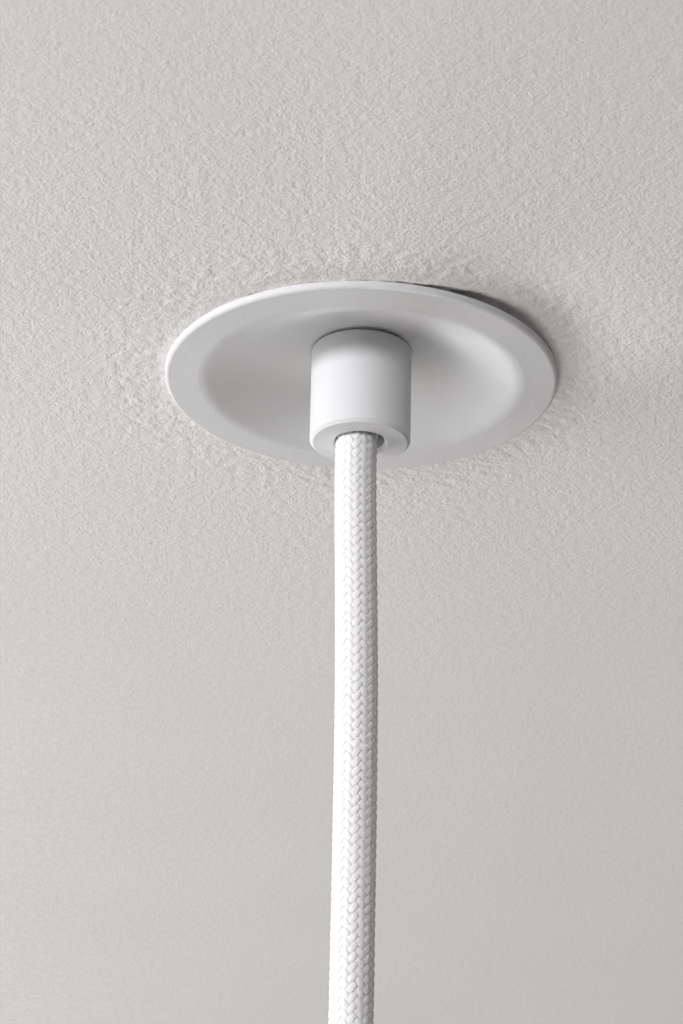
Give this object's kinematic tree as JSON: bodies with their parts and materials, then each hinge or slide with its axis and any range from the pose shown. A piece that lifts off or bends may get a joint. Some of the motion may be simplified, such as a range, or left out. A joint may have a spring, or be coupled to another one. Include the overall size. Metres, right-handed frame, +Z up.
{
  "type": "ceiling canopy",
  "caption": "Recessed round ceiling canopy with a dished white cover, a central collar gripping a textile pendant cord, and hidden spring clips and terminal block.",
  "frame": {"origin": "on the axis of the collar, in the plane of the ceiling's underside, which the rim's back land touches", "axes": "+Z up into the ceiling void, +X through the right spring clip, -Y towards the viewer of the picture"},
  "size_m": [0.0788, 0.06, 0.173],
  "materials": {
    "white_cover": "matt white powder coat",
    "white_collar": "matt white powder coat",
    "white_grip": "matt white powder coat",
    "collet_nylon": "black nylon",
    "zinc_tube": "bright zinc",
    "zinc_nipple": "bright zinc",
    "zinc_washer": "bright zinc",
    "zinc_nut": "bright zinc",
    "zinc_sheet": "zinc-plated sheet",
    "spring_steel": "zinc-plated spring steel",
    "pad_rubber": "soft grey-white rubber",
    "pin_steel": "bright steel",
    "spring_wire": "drawn spring wire",
    "housing_nylon": "moulded nylon",
    "insert_brass": "turned brass",
    "screw_steel": "yellow zinc",
    "screw_bright": "bright zinc",
    "cord_textile": "white silky braid",
    "sleeve_plastic": "white shrink tube",
    "core_brown": "brown insulation",
    "core_green_yellow": "green and yellow insulation",
    "core_blue": "blue insulation",
    "copper_ends": "bare copper"
  },
  "bodies": {
    "canopy": {"canopy_dish": "white_cover", "collar": "white_collar", "lamp_grip": "white_grip", "cord_collet": "collet_nylon", "threaded_tube": "zinc_tube", "lamp_nipple": "zinc_nipple", "toothed_washer": "zinc_washer", "lock_nut": "zinc_nut", "clip_bracket": "zinc_sheet", "right_hinge_pin": "pin_steel", "left_hinge_pin": "pin_steel", "right_spring": "spring_wire", "left_spring": "spring_wire", "terminal_housing": "housing_nylon", "terminal_inserts": "insert_brass", "clamp_screws": "screw_steel", "block_screw": "screw_bright", "cord_in_canopy": "cord_textile", "pendant_cord": "cord_textile", "braid_sleeve": "sleeve_plastic", "line_core": "core_brown", "earth_core": "core_green_yellow", "neutral_core": "core_blue", "conductor_ends": "copper_ends"},
    "right_clip": {"right_clip_arm": "spring_steel", "right_clip_pad": "pad_rubber"},
    "left_clip": {"left_clip_arm": "spring_steel", "left_clip_pad": "pad_rubber"}
  },
  "joints": [
    {"name": "right_clip_hinge", "type": "hinge", "parent": "canopy", "child": "right_clip", "pos_m": [0.0165, 0, 0.015], "axis": [0, -1, 0], "range_deg": [0, 85], "stiffness_Nm_per_rad": 0.1, "springref_deg": -51.57, "deforming": ["right_spring"]},
    {"name": "left_clip_hinge", "type": "hinge", "parent": "canopy", "child": "left_clip", "pos_m": [-0.0165, 0, 0.015], "axis": [0, 1, 0], "range_deg": [0, 85], "stiffness_Nm_per_rad": 0.1, "springref_deg": -51.57, "deforming": ["left_spring"]}
  ]
}
